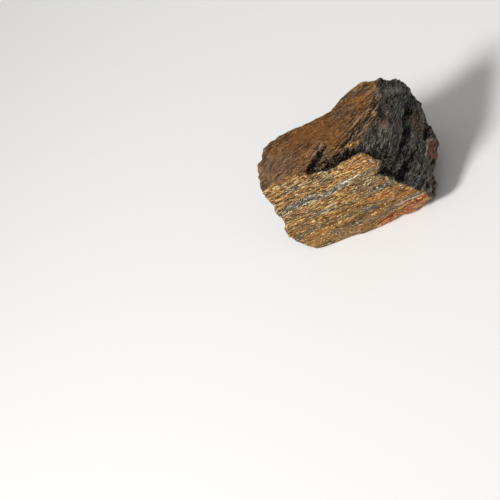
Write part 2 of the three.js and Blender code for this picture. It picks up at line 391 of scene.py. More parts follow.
# Cracks on the top: x and y of both ends, half width, depth.
CRACKS = [
    [-10.4, 5.1, -6.6, 7.7, 0.42, 1.1], [-7.4, 8.1, -3.2, 11.2, 0.36, 0.9],
    [-7.6, 7.2, -3.7, 9.8, 0.26, 0.8], [-6.8, 6.9, -3.0, 9.3, 0.26, 0.8],
    [-6.3, 6.4, -2.2, 8.8, 0.24, 0.8], [-9.2, 5.0, -5.8, 7.1, 0.28, 0.8],
    [-5.4, 6.2, -1.8, 8.2, 0.22, 0.6], [-8.8, 7.3, -5.9, 9.7, 0.22, 0.6],
    [-4.6, 9.4, -1.9, 11.2, 0.22, 0.6], [-8.1, 10.5, -6.2, 12.1, 0.25, 0.6],
    [-5.9, 10.6, -3.9, 12.2, 0.25, 0.5], [-9.6, 6.7, -7.6, 8.1, 0.2, 0.4],
    [-9.2, 8.2, -7.2, 9.5, 0.2, 0.4], [-11.0, 5.8, -9.2, 7.1, 0.2, 0.4],
    [-3.4, 9.6, -1.2, 11.3, 0.25, 0.7], [-4.2, 12.3, -2.1, 14.2, 0.3, 0.6],
    [-1.7, 13.4, 0.2, 17.5, 0.3, 0.6], [-7.4, 12.6, -5.4, 14.4, 0.2, 0.4],
    [-28.8, 0.9, -25.0, 2.4, 0.35, 0.45], [-26.4, 1.9, -23.0, 3.0, 0.3, 0.45],
    [-28.0, 7.1, -25.6, 8.3, 0.2, 0.25], [-33.5, 4.4, -29.5, 7.4, 0.25, 0.4],
    [-20.4, 7.2, -17.9, 9.2, 0.2, 0.3], [-13.8, 3.9, -11.2, 5.3, 0.2, 0.3],
    [-25.0, 0.6, -22.6, 1.9, 0.2, 0.4], [-11.4, 5.1, -9.6, 6.8, 0.2, 0.4],
    [-31.5, 9.2, -28.2, 11.6, 0.22, 0.3], [-36.5, 3.2, -33.8, 5.0, 0.25, 0.35],
    [-23.6, 9.6, -21.4, 11.6, 0.18, 0.25], [-30.6, 2.4, -27.4, 4.4, 0.25, 0.35],
]

RIB_WANDER = [[0.3, 5, 4, 61, 1]]
TOP_RIBS = [[0.16, 1.1, 5, 53, 0.2], [0.1, 0.5, 2.2, 54, 0.3]]
SCALE_HEIGHT = 0.1
TALL_SPLINTERS = [[0.45, 0.95, 4, 56, 0.2], [0.2, 0.42, 2.4, 57, 0.3]]
SPLINTER_SCALE_HEIGHT = 0.15


def crack(p, q, p0, q0, p1, q1, half, depth):
    """One crack between two ends: deepest on the line between them, fading to frayed sides half the
    width away, and shallower to each end."""
    run = math.hypot(p1 - p0, q1 - q0)
    along = ((p - p0) * (p1 - p0) + (q - q0) * (q1 - q0)) / run
    away = ((p - p0) * (q1 - q0) - (q - q0) * (p1 - p0)) / run
    away = away + wander(along, 0.09, 0.7, 60)
    return depth * ramp(half, 0, np.abs(away)) * ramp(0, 0.25 * run, along) * ramp(run, 0.75 * run, along)


def all_cracks(lines, p, q):
    """Sum of a list of cracks, or of any other marks that are drawn as lines."""
    return sum(crack(p, q, *line) for line in lines)


def cleaved(x, y):
    """Skin of the brown top: two sizes of rib along the grain with scales across them, both calmer in
    the middle; taller splinters below the splintered break; and the cracks cut into it."""
    across, along = across_grain(x, y, TOP_GRAIN), along_grain(x, y, TOP_GRAIN)
    across = across + relief(along, across, RIB_WANDER)
    calm = 1 - 0.8 * hump(-17, 12, x) * hump(9.5, 7, y)
    scales = SCALE_HEIGHT * slabs(along / 1.3 + 0.8 * across, across / 0.8, 55, 0.2)
    ribs = relief(across, along, TOP_RIBS) + scales
    across, along = across_grain(x, y, SPLINTER_GRAIN), along_grain(x, y, SPLINTER_GRAIN)
    scales = SPLINTER_SCALE_HEIGHT * slabs(along / 1.2 + across, across / 0.7, 62, 0.2)
    tall = relief(across, along, TALL_SPLINTERS) + scales
    break_y = through(SPLINTER_LINE, x)
    rough = ramp(break_y + 1.5, break_y - 1, y) * ramp(-16, -9, x) * ramp(0.7, 1.5, y)
    return ribs * calm + rough * tall - all_cracks(CRACKS, x, y)


# The skin is a box ruled into cells, whose points are moved to the faces. Along each side the cells
# close up towards the edges where the finest forms are.
CELLS = np.array([130, 115, 132])
CLOSING = [0.92, 1.25, 0.85]


def box_skin(cells):
    """Points and quads of a unit box. On each face two whole numbers count the cells and the third
    stays at its end; a triple of numbers is one point, so the faces share their edges."""
    size = cells + 1
    quads = []
    for axis in range(3):
        across, up = (axis + 1) % 3, (axis + 2) % 3
        a, b = np.meshgrid(np.arange(size[across]), np.arange(size[up]), indexing="ij")
        for end in (0, cells[axis]):
            count = np.empty((3,) + a.shape, int)
            count[axis], count[across], count[up] = end, a, b
            key = np.ravel_multi_index(count, size)
            corners = [key[:-1, :-1], key[1:, :-1], key[1:, 1:], key[:-1, 1:]]
            quad = np.stack(corners, -1).reshape(-1, 4)
            quads.append(quad if end else quad[:, ::-1])
    keys, faces = np.unique(np.concatenate(quads), return_inverse=True)
    points = np.stack(np.unravel_index(keys, size), -1) / cells
    return points, faces.reshape(-1, 4)


def shape_stone(u, v, w):
    """Moves the box's points to the stone, one direction after another: x lies a share u of the way
    from the splintered end to the dark end, y a share v from front to back, z a share w from base to
    top. A high power of the share makes each skin die away just behind its own face."""
    x_guess = mix(-ROUGH_LENGTH, 0, u)
    y_guess = v * back_face(x_guess, mix(-HEIGHT, 0, w))
    z_guess = mix(flat_base(x_guess, y_guess), 0, w)
    x = mix(splintered_end(y_guess, z_guess), dark_end(y_guess, z_guess), u)
    x = x + splinters(y_guess, z_guess) * (1 - u) ** SKIN_FADE
    x = x + clinker(y_guess, z_guess) * u ** SKIN_FADE
    y = mix(gold_face(x, z_guess), back_face(x, z_guess), v)
    comb = fibres(x, z_guess)
    grooves = all_cracks(FRONT_GROOVES, x, z_guess)
    y = y + (comb + grooves) * (1 - v) ** SKIN_FADE - comb * v ** SKIN_FADE
    top = brown_face(x, y) * w ** FORM_FADE + cleaved(x, y) * w ** SKIN_FADE
    z = mix(flat_base(x, y), 0, w) + top
    return x, y, z


def write_mesh(name, points, faces):
    """A mesh from points in millimetres and quads, shaded smooth."""
    mesh = bpy.data.meshes.new(name)
    mesh.from_pydata((points * MM).tolist(), [], faces.tolist())
    mesh.polygons.foreach_set("use_smooth", np.ones(len(faces), bool))
    piece = bpy.data.objects.new(name, mesh)
    bpy.context.scene.collection.objects.link(piece)
    return piece


share, quads = box_skin(CELLS)
u, v, w = (share ** CLOSING).T
x, y, z = shape_stone(u, v, w)
stone = write_mesh("raw_stone", np.stack([x, y, z], -1) + CORNER, quads)

# ---------------------------------------------------------------- the stone: where its colours lie
# The fibres weather golden where they are combed open in front and dull brown where they cleave flat
# on top, and carry a charcoal crust where the lump snapped from its rock. Grey talc-like leaves run
# through the gold, and rust stains the strip at its foot. Crests are painted paler, partly as rubbed
# wear and partly as painted highlight, and hollows, cracks and grooves darker as painted shade.

# Ovals have their place, their two half sizes and a strength. Lines have the places of both ends,
# half width and strength. On the golden front an oval's place is x and level, a line's x and z.
GREY_LEAVES = [
    [-12.5, 1.5, 3.5, 0.8, 0.65],
    [-25.5, 1.3, 3.5, 0.8, 0.55],
    [-19.0, 0.7, 4.5, 0.8, 0.55],
    [-16.5, -0.6, 3.4, 1.2, 0.55],
    [-29.0, -4.6, 8.5, 1.2, 0.9],
    [-18.0, -5.3, 7.0, 1.0, 1.0],
    [-11.5, -4.2, 4.0, 0.7, 0.8],
    [-5.0, -4.4, 3.2, 1.0, 0.7],
    [-28.0, -10.7, 5.5, 0.7, 0.7],
    [-37.0, -6.4, 2.4, 1.0, 0.8],
    [-10.0, -6.3, 5.0, 0.9, 0.6],
    [-10.5, -8.9, 4.5, 0.9, 0.5],
    [-6.5, -11.4, 4.8, 0.8, 0.9],
    [-9.0, -7.4, 5.0, 2.0, 0.35],
    [-16.5, -16.8, 2.8, 0.8, 1.0],
    [-2.6, -19.5, 3.2, 0.6, 0.8],
    [-11.0, -19.6, 5.0, 0.35, 0.5],
    [-30.6, -19.7, 1.8, 0.7, 0.9],
    [-24.0, -19.5, 3.6, 0.6, 0.7],
    [-13.5, -20.9, 5.0, 0.5, 0.7],
    [-42.2, -16.0, 1.6, 1.8, 0.6],
]
ORANGE_LEAVES = [
    [-11.5, -14.1, 9.5, 1.3, 1.0],
    [-25.5, -0.4, 9.0, 0.7, 0.9],
    [-5.5, -0.6, 6.5, 1.6, 0.9],
    [-21.0, -6.9, 14.0, 0.7, 0.6],
    [-6.5, -17.1, 6.5, 0.7, 0.9],
    [-2.4, -3.0, 2.0, 0.8, 1.0],
    [-2.0, 0.3, 3.6, 1.4, 1.2],
    [-26.5, -13.4, 4.5, 1.0, 0.8],
]
# Painted highlights: glinting lines along the fibres of the front and on the rim.
HIGHLIGHT_LINES_IN_FRONT = [
    [-16.8, -7.5, -10.4, -5.7, 0.26, 1.6],
    [-12.6, -6.3, -6.0, -4.6, 0.32, 2.4],
    [-11.5, -21.7, 0.6, -20.6, 0.25, 0.9],
    [-27.9, -1.85, -21.0, -0.45, 0.22, 1.3],
    [-29.6, -0.2, -25.6, 0.45, 0.2, 1.0],
    [-29.8, -15.9, -24.3, -14.5, 0.2, 1.0],
    [-31.9, -12.9, -26.4, -11.0, 0.2, 0.9],
    [-20.0, -9.35, -15.2, -8.7, 0.2, 0.7],
    [-0.9, -0.2, -0.5, -3.6, 0.5, 0.35],
    [-9.5, -0.7, -3.0, 0.3, 0.22, 0.35],
    [-7.0, 0.3, -1.6, 1.1, 0.22, 0.3],
    [-6.0, -1.9, -1.8, -1.2, 0.2, 0.3],
    [-26.6, -7.7, -22.6, -7.1, 0.35, 0.7],
    [-29.5, -5.9, -26.0, -5.0, 0.3, 0.6],
    [-27.5, -10.2, -22.0, -9.4, 0.3, 0.5],
    [-24.5, -13.2, -20.5, -12.6, 0.3, 0.5],
]

# On the brown top a place is x and y.
GOLD_SPLINTERS = [
    [-6.2, 5.1, 2.0, 0.55, 1.0],
    [-10.8, 5.6, 1.2, 0.3, 0.5],
]
OLIVE_PATCHES = [
    [-33.0, 7.4, 2.6, 2.0, 0.9],
    [-36.0, 10.5, 1.4, 3.0, 0.8],
    [-24.0, 6.4, 1.8, 1.8, 0.6],
    [-9.7, 14.7, 4.0, 1.8, 0.8],
    [-3.9, 9.2, 1.6, 2.4, 0.8],
    [-13.5, 4.8, 1.7, 1.6, 0.8],
    [-6.5, 19.6, 5.0, 1.8, 0.6],
    [-1.6, 17.4, 1.8, 3.4, 0.6],
    [-27.0, 4.0, 2.5, 0.8, 0.5],
]
AMBER_PATCHES = [
    [-19.5, 12.2, 7.0, 2.6, 1.0],
    [-12.5, 8.9, 3.2, 2.8, 0.8],
    [-6.0, 16.6, 4.0, 1.6, 0.5],
]
WINE_LINES = [
    [-19.5, 3.5, -16.2, 8.0, 0.4, 1.3],
    [-27.0, 13.4, -25.9, 9.2, 0.25, 0.9],
    [-4.3, 12.9, -0.9, 11.0, 0.7, 0.5],
    [-29.0, 10.4, -26.6, 11.6, 0.3, 0.6],
]
# Edges painted pale, mostly as highlights on the lit lip and tip of the crevice.
HIGHLIGHTS_AND_RUBBED_ON_TOP = [
    [-14.8, 7.6, -15.9, 5.6, 0.25, 0.35],
    [-17.4, 1.6, -14.6, 2.1, 0.25, 0.35],
    [-17.6, 3.6, -15.9, 5.8, 0.35, 0.2],
]

# On the dark end a place is y and z.
UMBER_PATCHES = [
    [17.0, -15.5, 5.5, 4.2, 0.9],
    [10.3, -4.2, 2.2, 1.1, 0.6],
    [12.8, -2.2, 2.4, 1.5, 0.9],
    [9.0, -17.5, 3.0, 1.8, 0.3],
    [4.5, -22.0, 3.0, 1.5, 0.35],
]
BRICK_PATCHES = [
    [11.9, -20.6, 3.1, 2.5, 0.85],
    [15.6, -22.4, 1.6, 1.2, 0.4],
    [9.9, -2.9, 1.4, 1.0, 0.5],
    [16.4, -1.4, 2.2, 0.8, 0.3],
    [16.5, -13.4, 1.8, 1.2, 0.2],
    [4.0, -22.8, 1.6, 1.2, 0.2],
]
# Steel-blue patches; the two at the back edge are painted shade where the crust turns away.
STEEL_AND_EDGE_SHADE_PATCHES = [
    [19.6, -8.5, 2.0, 4.0, 1.0],
    [21.0, -14.0, 1.6, 2.6, 0.8],
    [2.0, -8.0, 1.5, 1.1, 1.0],
    [1.3, -16.9, 1.3, 1.2, 0.9],
    [14.5, -1.6, 2.0, 0.8, 0.6],
    [11.0, -12.8, 2.8, 1.3, 0.5],
]
# Painted shadows in the dark end's pits and furrow.
PIT_SHADOWS = [
    [2.4, -9.8, 1.5, 1.0, 0.6],
    [2.8, -12.6, 1.6, 1.2, 1.0],
    [0.9, -13.0, 1.2, 1.3, 1.0],
    [1.2, -11.6, 0.8, 3.0, 0.7],
    [0.9, -8.5, 0.8, 0.9, 0.9],
    [1.5, -9.6, 2.2, 2.2, 0.55],
    [5.4, -13.0, 1.1, 0.9, 0.5],
    [6.6, -16.2, 1.3, 0.6, 0.5],
    [18.6, -0.3, 1.0, 0.7, 0.5],
    [15.2, -18.4, 1.7, 1.3, 1.0],
    [9.2, -21.8, 1.2, 0.8, 0.8],
    [17.6, -11.2, 1.9, 1.0, 0.7],
    [12.5, -11.0, 4.0, 0.7, 0.2],
    [2.2, -6.0, 1.8, 2.4, 0.55],
    [4.4, -9.2, 1.5, 1.4, 0.65],
    [22.0, -0.8, 2.0, 0.8, 0.6],
]
# Edges painted pale, partly rubbed and partly painted highlights where the crust catches the light.
HIGHLIGHTS_AND_RUBBED_ON_END = [
    [12.8, -18.1, 15.6, -21.4, 0.45, 0.9],
    [12.8, -18.5, 8.2, -18.3, 0.35, 0.9],
    [0.5, -1.2, 0.6, -4.4, 0.4, 0.8],
    [0.7, -4.0, 0.3, -6.8, 0.4, 0.8],
    [17.0, -0.8, 21.5, -7.0, 1.8, 0.24],
    [11.2, -1.6, 7.6, -4.6, 1.3, 0.13],
]
STRAW_ON_END = [
    [12.4, -12.9, 14.8, -15.4, 0.5, 1.1],
    [14.4, -15.2, 16.4, -17.6, 0.5, 1.1],
    [12.0, -14.4, 13.6, -15.6, 0.4, 0.6],
    [16.2, -13.6, 15.4, -15.6, 0.35, 0.6],
]

# Gold on the hidden sides, and how much darker cracks and grooves are painted as shade than they
# are deep.
GOLD_ON_BACK = 0.55
GOLD_ON_SPLINTERS = 0.45
GOLD_ON_BASE = 0.25
CRACK_SHADE_GAIN = 3
GROOVE_SHADE_GAIN = 5

# Contrast between fibres where the comb is closed and where it is open, and the rounds of smoothing
# that crests stand out from.
CLOSED_CONTRAST = 0.54
OPEN_CONTRAST = 1.27
CREST_ROUNDS = 10

# Rows of relief that fray the edges of colours.
LAYER_FRAY = [[0.5, 0.7, 1.3, 73, 1]]
SPECK_FRAY = [[0.3, 0.6, 0.9, 74, 1]]
OVAL_FRAY = [[0.45, 0.35, 3, 71, 1], [0.25, 0.9, 1.5, 72, 1]]


def leaves(shapes, p, q):
    """Strongest of a list of ovals at each point: each is full inside and fades over its outer half,
    its edge frayed by scatter that is long along p."""
    fray = relief(q, p, OVAL_FRAY)
    total = 0 * p
    for at_p, at_q, half_p, half_q, strength in shapes:
        far = np.hypot((p - at_p) / half_p, (q - at_q) / half_q)
        total = np.maximum(total, strength * ramp(1.35, 0.45, far + fray * 0.6))
    return total


def summed_by_point(corners, values, count):
    """Sum of the values of every corner that is at a point, for each axis."""
    return np.stack([np.bincount(corners, values[:, axis], count) for axis in range(3)], -1)


def stands_out(points, faces, rounds):
    """How far each point stands out from a smoothed copy of the mesh, along its normal; the copy is
    made by moving every point to the mean of its neighbours, again and again."""
    sides = np.concatenate([faces[:, [k, (k + 1) % 4]] for k in range(4)])
    start, end = sides.T
    neighbours = np.bincount(start, minlength=len(points))[:, None]
    smooth = points
    for _ in range(rounds):
        smooth = summed_by_point(start, smooth[end], len(points)) / neighbours
    corner = points[faces]
    face_normal = np.cross(corner[:, 2] - corner[:, 0], corner[:, 3] - corner[:, 1])
    normal = sum(summed_by_point(faces[:, k], face_normal, len(points)) for k in range(4))
    normal /= np.linalg.norm(normal, axis=1)[:, None] + 1e-12
    return np.sum((points - smooth) * normal, 1)


level = layer(x, z)
on_top = w == 1
on_end = u == 1
in_front = v == 0
fray = relief(level, y, LAYER_FRAY) + relief(x, y, SPECK_FRAY)

# The charcoal crust covers the dark end, creeps round its edges, down into the groove's mouth and
# under the foot, and is hidden only where loose golden fibres hang over it.
to_dark = dark_end(v * DEPTH, mix(flat_base(mix(-ROUGH_LENGTH, 0, u), v * DEPTH), 0, w)) - x
over_edge = 1.5 * hump(7.4, 3.4, y) * on_top
loose_fibres = 0.85 * ramp(1.1, 0.3, y + 0.6 * fray) * ramp(-8.4, -7, z)
round_edges = ramp(0.55, 0.15, to_dark - 0.8 * fray - over_edge)
groove_mouth = ramp(-7.6, -6.2, x + fray) * ramp(4.9, 4.1, y + 0.4 * fray) * ramp(0.8, 1.1, y) * on_top
under_dark_end = ramp(-6, -4, x + fray) * (w == 0)
crust = np.where(on_end, 1 - loose_fibres, round_edges)
dark = np.maximum.reduce([crust, groove_mouth, under_dark_end])

# The gold of the front laps a little way over its edges, except on the brown brow above it, and
# shows in part on the hidden sides.
from_front = y - gold_face(x, z)
gold_reach = mix(0.3, 0.9, ramp(-21, -17, x)) - 0.5 * hump(-11.5, 4.5, x)
brow = hump(-25.5, 6, x) * ramp(0.9, 1.5, z + 0.25 * fray)
gold = ramp(gold_reach, 0.5 * gold_reach, from_front + 0.3 * fray) * (1 - brow)
hidden_sides = GOLD_ON_BACK * (v == 1) + GOLD_ON_SPLINTERS * (u == 0) + GOLD_ON_BASE * (w == 0)

# Painted shade lies in the crevice, on its low side, along the foot of the rim and on the groove's wall.
past_edge = x - plate_edge(y)
past_slit = x - through(SLIT_RIGHT, y) + wander(y, 0.35, 0.9, 75)
slit_shade = ramp(-0.4, 0.25, past_edge + 0.3 * fray) * ramp(1.5, 0.7, past_slit + 0.3 * fray)
slit_shade = 1.5 * (slit_shade * ramp(7.2, 6.4, y)) * ramp(1.0, 1.8, y)
olive_shade = 0.75 * ramp(-0.3, 0.1, past_slit) * ramp(4.0, 0.8, past_slit + fray)
olive_shade = olive_shade * ramp(5.4, 3.6, y) * ramp(0.8, 1.4, y)
rim_shade = 1.2 * hump(0.35, 0.35, y - 0.05 * fray) * ramp(-19, -18, x) * ramp(-8, -9.5, x)
wall_share = inside_groove(x, y) / (through(GROOVE_EDGE, x) - 0.6)
wall_shade = mix(ramp(-0.45, 0.5, wall_share + 0.1 * fray), 1, ramp(1.9, 1.4, y))
wall_shade = wall_shade * ramp(-18.6, -18, x) * ramp(0.6, 0.9, y)
wall_shade = wall_shade * mix(0.92, 1.3, ramp(-13, -9, x + fray))
hollow = np.clip(np.maximum.reduce([slit_shade, olive_shade, rim_shade, wall_shade]), 0, 1) * on_top

# On the front, the rusty strip with its faded foot, the open part of the comb and a calm corner; on
# the top, the back edge of the break, the rosy plate and the lip at its edge, which is painted rosy as
# a highlight where it catches the light.
above_strip = level - through(STRIP_TOP, x)
in_strip = ramp(0.1, -0.3, above_strip + 0.15 * fray)
faded_foot = 0.3 * ramp(-2.4, -3.6, above_strip + 0.4 * fray)
open_comb = np.maximum(ramp(-22, -4, level - 0.25 * x - 6), 0.8 * in_strip)
calm_corner = 0.35 * ramp(-28, -35, x) * ramp(-6, -10, level)
break_y = through(SPLINTER_LINE, x)
plate = ramp(-18, -23, x) * ramp(10.5, 7.5, y + 0.5 * (x + 30))
# Painted highlight on the plate's lit lip at the crevice, given the rosy colours.
lip = hump(-1.0, 1.2, past_edge) * ramp(9, 7, y)

# Edges painted pale: on the front, painted glints along the fibres; on the top and the dark end,
# partly rubbed wear and partly painted highlights where edges catch the light.
rubbed = all_cracks(HIGHLIGHTS_AND_RUBBED_ON_TOP, x, y) * on_top + all_cracks(HIGHLIGHTS_AND_RUBBED_ON_END, y, z) * on_end
rubbed = rubbed + all_cracks(HIGHLIGHT_LINES_IN_FRONT, x, z) * gold * in_front

# One number per point for each of these, which the material reads by name.
PAINTED = {
    "dark": dark,
    "gold": np.maximum.reduce([gold, hidden_sides * (1 - dark), leaves(GOLD_SPLINTERS, x, y) * on_top]),
    # Painted shade, black at its deepest: in the crevice, the groove and the dark end's pits.
    "hollow": np.maximum(hollow, leaves(PIT_SHADOWS, y, z) * on_end),
    # Edges painted pale, partly rubbed and partly painted highlights and glints.
    "rubbed": rubbed,
    # Painted light and shade by how far a point stands out: crests lighter, partly as rubbed wear, dents
    # darker as painted shade.
    "crest": stands_out(np.stack([x, y, z], -1), quads, CREST_ROUNDS),
    "grey": leaves(GREY_LEAVES, x, level) * gold,
    "orange": leaves(ORANGE_LEAVES, x, level) * gold,
    "rust": in_strip * gold * ramp(-24, -17, x) * (1 - faded_foot),
    "open": mix(CLOSED_CONTRAST, OPEN_CONTRAST, open_comb) - calm_corner,
    # Painted shade, darker low on the front.
    "dull": ramp(-13.5, -16.5, level) * ramp(-34, -29, x) * (1 - in_strip) * in_front,
    # Painted shade in the grooves between the front's leaves.
    "grooved": GROOVE_SHADE_GAIN * all_cracks(FRONT_GROOVES, x, z) * gold * in_front,
    # Rosy plate, and a painted highlight on the lit lip at its edge.
    "rose": np.maximum(plate, lip) * on_top,
    "olive": leaves(OLIVE_PATCHES, x, y) * on_top,
    "amber": leaves(AMBER_PATCHES, x, y) * on_top,
    "wine": all_cracks(WINE_LINES, x, y) * on_top,
    "broken": ramp(break_y + 5.5, break_y, y) * ramp(-12.5, -9, x) * on_top,
    # Painted shade in the cracks of the top.
    "cracked": np.clip(CRACK_SHADE_GAIN * all_cracks(CRACKS, x, y), 0, 1) * on_top,
    "umber": leaves(UMBER_PATCHES, y, z) * on_end,
    "brick": leaves(BRICK_PATCHES, y, z) * on_end,
    # Steel-blue patches, partly painted shade at the back edge.
    "steel": leaves(STEEL_AND_EDGE_SHADE_PATCHES, y, z) * on_end,
    "straw": all_cracks(STRAW_ON_END, y, z) * on_end,
}
for name, values in PAINTED.items():
    store = stone.data.attributes.new(name, "FLOAT", "POINT")
    store.data.foreach_set("value", np.asarray(values, np.float32))


# ---------------------------------------------------------------- the stone: its surface
# Silky fibres shine where they lie combed; the cleaved top is dull, and the charcoal crust is rough
# and almost black with painted shade in its pits.
def srgb(red, green, blue):
    """Linear colour with alpha from the 0 to 255 values of a paint chip: each is divided by 255 and
    raised along the standard display curve."""
    parts = [part / 255 for part in (red, green, blue)]
    line = [part / 12.92 if part <= 0.04045 else ((part + 0.055) / 1.055) ** 2.4 for part in parts]
    return (*line, 1)


class Wire:
    """A shader value or colour. +, - and * with numbers or other wires add the Math nodes."""

    def __init__(self, recipe, socket):
        self.recipe = recipe
        self.socket = socket

    def _math(self, operation, first, second):
        return self.recipe.node("ShaderNodeMath", {"operation": operation}, {0: first, 1: second})

    def __add__(self, other):
        return self._math("ADD", self, other)

    def __sub__(self, other):
        return self._math("SUBTRACT", self, other)

    def __rsub__(self, other):
        return self._math("SUBTRACT", other, self)

    def __mul__(self, other):
        return self._math("MULTIPLY", self, other)

    def __abs__(self):
        return self._math("ABSOLUTE", self, 0)

    __radd__ = __add__
    __rmul__ = __mul__


class Recipe:
    """One material's nodes."""

    def __init__(self, name):
        self.material = bpy.data.materials.new(name)
        self.material.use_nodes = True
        self.tree = self.material.node_tree
        self.tree.nodes.clear()
        self.read = {}

    def node(self, kind, settings=None, sockets=None, output=0):
        """Adds a node: its settings first, then its sockets' values or links; gives one output."""
        made = self.tree.nodes.new(kind)
        for key, value in (settings or {}).items():
            if key == "stops":
                self.set_stops(made.color_ramp, value)
            else:
                setattr(made, key, value)
        for key, value in (sockets or {}).items():
            if isinstance(value, Wire):
                self.tree.links.new(value.socket, made.inputs[key])
            else:
                made.inputs[key].default_value = value
        return Wire(self, made.outputs[output]) if made.outputs else None

    def set_stops(self, bar, stops):
        """Fills a ramp with (place, colour) stops."""
        while len(bar.elements) < len(stops):
            bar.elements.new(1)
        for element, (place, colour) in zip(bar.elements, stops):
            element.position = place
            element.color = srgb(*colour)

    def painted(self, name):
        """A number painted on the piece's points, read by one node however often it is asked for."""
        if name not in self.read:
            self.read[name] = self.node("ShaderNodeAttribute", {"attribute_name": name}, output="Fac")
        return self.read[name]

    def remap(self, value, low, high):
        """0 at low and 1 at high, smoothly and held beyond them."""
        settings = {"interpolation_type": "SMOOTHSTEP"}
        sockets = {"Value": value, "From Min": low, "From Max": high}
        return self.node("ShaderNodeMapRange", settings, sockets)

    def colours(self, value, stops):
        """A colour for each value, by (place, colour) stops."""
        return self.node("ShaderNodeValToRGB", {"stops": stops}, {"Fac": value})

    def blend(self, first, second, share):
        """Mixes two colours."""
        sockets = {"Factor": share, 6: first, 7: second}
        return self.node("ShaderNodeMix", {"data_type": "RGBA"}, sockets, 2)

    def coats(self, colour, *layers):
        """Lays coats over a colour, one after another. Each has its own colour and its share."""
        for coat, share in layers:
            colour = self.blend(colour, coat, share)
        return colour

    def noise(self, sizes, detail=2, turn=(0, 0, 0), roughness=0.5, wander=0):
        """Cloudy scatter around 0.5 whose lumps have the given sizes in millimetres along X, Y and Z,
        after the piece is turned."""
        place = self.node("ShaderNodeTexCoord", output="Object")
        turned = self.node("ShaderNodeMapping", None, {"Vector": place, "Rotation": turn})
        scale = [1 / (MM * size) for size in sizes]
        scaled = self.node("ShaderNodeMapping", None, {"Vector": turned, "Scale": scale})
        sockets = {
            "Vector": scaled, "Scale": 1, "Detail": detail, "Roughness": roughness,
            "Distortion": wander}
        return self.node("ShaderNodeTexNoise", None, sockets)


# Turns that lay a pattern along the layers, along the top's grain, its creases and its clefts, and
# along the dark end's whiskers.
LAYER_TURN = (0, math.atan(LAYER_RISE), 0)
GRAIN_TURN = (0, 0, -math.atan(TOP_GRAIN))
CREASE_TURN = (0, 0, -0.72)
CLEFT_TURN = (0, 0, -0.66)
MAT_TURN = (MAT_LEAN, 0, 0)

GOLD_BANDS = (
    (0.36, (98, 84, 48)), (0.44, (130, 98, 44)), (0.5, (146, 103, 40)), (0.56, (158, 110, 44)),
    (0.64, (156, 98, 32)))
ORANGE = srgb(186, 108, 24)
DUN = srgb(122, 84, 56)
TALC = srgb(96, 93, 78)
TALC_SHADOW = srgb(46, 45, 38)
TALC_SHINE = srgb(190, 182, 156)
TALC_SPARK = srgb(242, 240, 228)
RUST = srgb(164, 84, 38)
FIBRE_SHADOW = srgb(38, 24, 11)
FIBRE_SHINE = srgb(230, 183, 96)
FIBRE_SPARK = srgb(254, 224, 158)
SEAM = srgb(40, 27, 15)
# Painted shade low on the front.
LOW_FRONT_SHADE = srgb(24, 16, 9)
# Painted shade in the front's grooves, brown or rusty.
GROOVE_SHADE_BROWN = srgb(52, 26, 12)
GROOVE_SHADE_RUST = srgb(88, 38, 12)


def golden_front(recipe):
    """Colour and weave of the combed fibres: bands of gold with orange, dun, grey talc and rust in
    them, painted shadow between the fibres, painted sheen where they shine and painted glints where
    they glint brightest, and painted shade low on the front and in its grooves."""
    grey, rust, orange = recipe.painted("grey"), recipe.painted("rust"), recipe.painted("orange")
    bands = recipe.noise((22, 8, 0.8), 2, LAYER_TURN)
    strands = recipe.noise((4.5, 3, 0.34), 2, LAYER_TURN, 0.55, 0.3)
    threads = recipe.noise((1.7, 1.2, 0.2), 1, LAYER_TURN, 0.6, 0.4)
    seams = abs(recipe.noise((9, 4, 0.8), 1, LAYER_TURN) - 0.5)
    flecks = recipe.noise((0.45, 0.4, 0.22), 1, LAYER_TURN)
    tints = recipe.noise((5, 4, 1.8), 2, LAYER_TURN)
    weave = strands * 0.37 + threads * 0.42 + flecks * 0.26 - 0.025
    # Crests are painted lighter and dents darker, partly as rubbed wear and partly as painted light and
    # shade.
    lit = 0.5 + (weave + recipe.painted("crest") * 0.22 - 0.5) * recipe.painted("open")
    tame = rust * 0.38 + orange * 0.1
    shine = recipe.remap(lit, 0.525, 0.6) * (0.84 - grey * 0.3 - tame)
    glint = recipe.remap(flecks * 0.5 + threads * 0.5, 0.57, 0.615) * (0.7 + grey * 0.3 - tame)
    colour = recipe.coats(
        recipe.colours(bands, GOLD_BANDS),
        (ORANGE, orange * 0.8),
        (DUN, recipe.remap(tints, 0.5, 0.6) * 0.5),
        (TALC, grey * 0.95),
        (RUST, rust),
        (TALC_SHADOW, grey * recipe.remap(flecks, 0.48, 0.4) * 0.8),
        (FIBRE_SHADOW, recipe.remap(lit, 0.5, 0.415) * (0.88 - rust * 0.3)),
        (SEAM, recipe.remap(seams, 0.022, 0.0) * 0.75),
        (recipe.blend(FIBRE_SHINE, TALC_SHINE, grey), shine),
        (recipe.blend(FIBRE_SPARK, TALC_SPARK, grey), glint),
        (LOW_FRONT_SHADE, recipe.painted("dull") * 0.19),
        (recipe.blend(GROOVE_SHADE_BROWN, GROOVE_SHADE_RUST, rust), recipe.painted("grooved")))
    return colour, weave


BROWN_PATCHES = (
    (0.38, (86, 54, 25)), (0.46, (112, 69, 24)), (0.54, (132, 83, 28)), (0.62, (126, 88, 47)))
ROSE_PATCHES = ((0.38, (98, 69, 44)), (0.5, (132, 93, 60)), (0.62, (148, 111, 80)))
AMBER = srgb(144, 90, 32)
OLIVE = srgb(96, 86, 66)
WINE = srgb(88, 38, 22)
GRIT_SHADOW = srgb(34, 21, 12)
GRIT_SHINE = srgb(190, 145, 92)
CREASE = srgb(30, 19, 12)
ROSE_CLEFT = srgb(46, 30, 24)
ROSE_RIDGE = srgb(176, 134, 108)
BROKEN_RIDGE = srgb(182, 148, 118)
BROKEN_CLEFT = srgb(22, 14, 9)
# Painted shade in the cracks.
CRACK_SHADE_COLOUR = srgb(26, 16, 10)


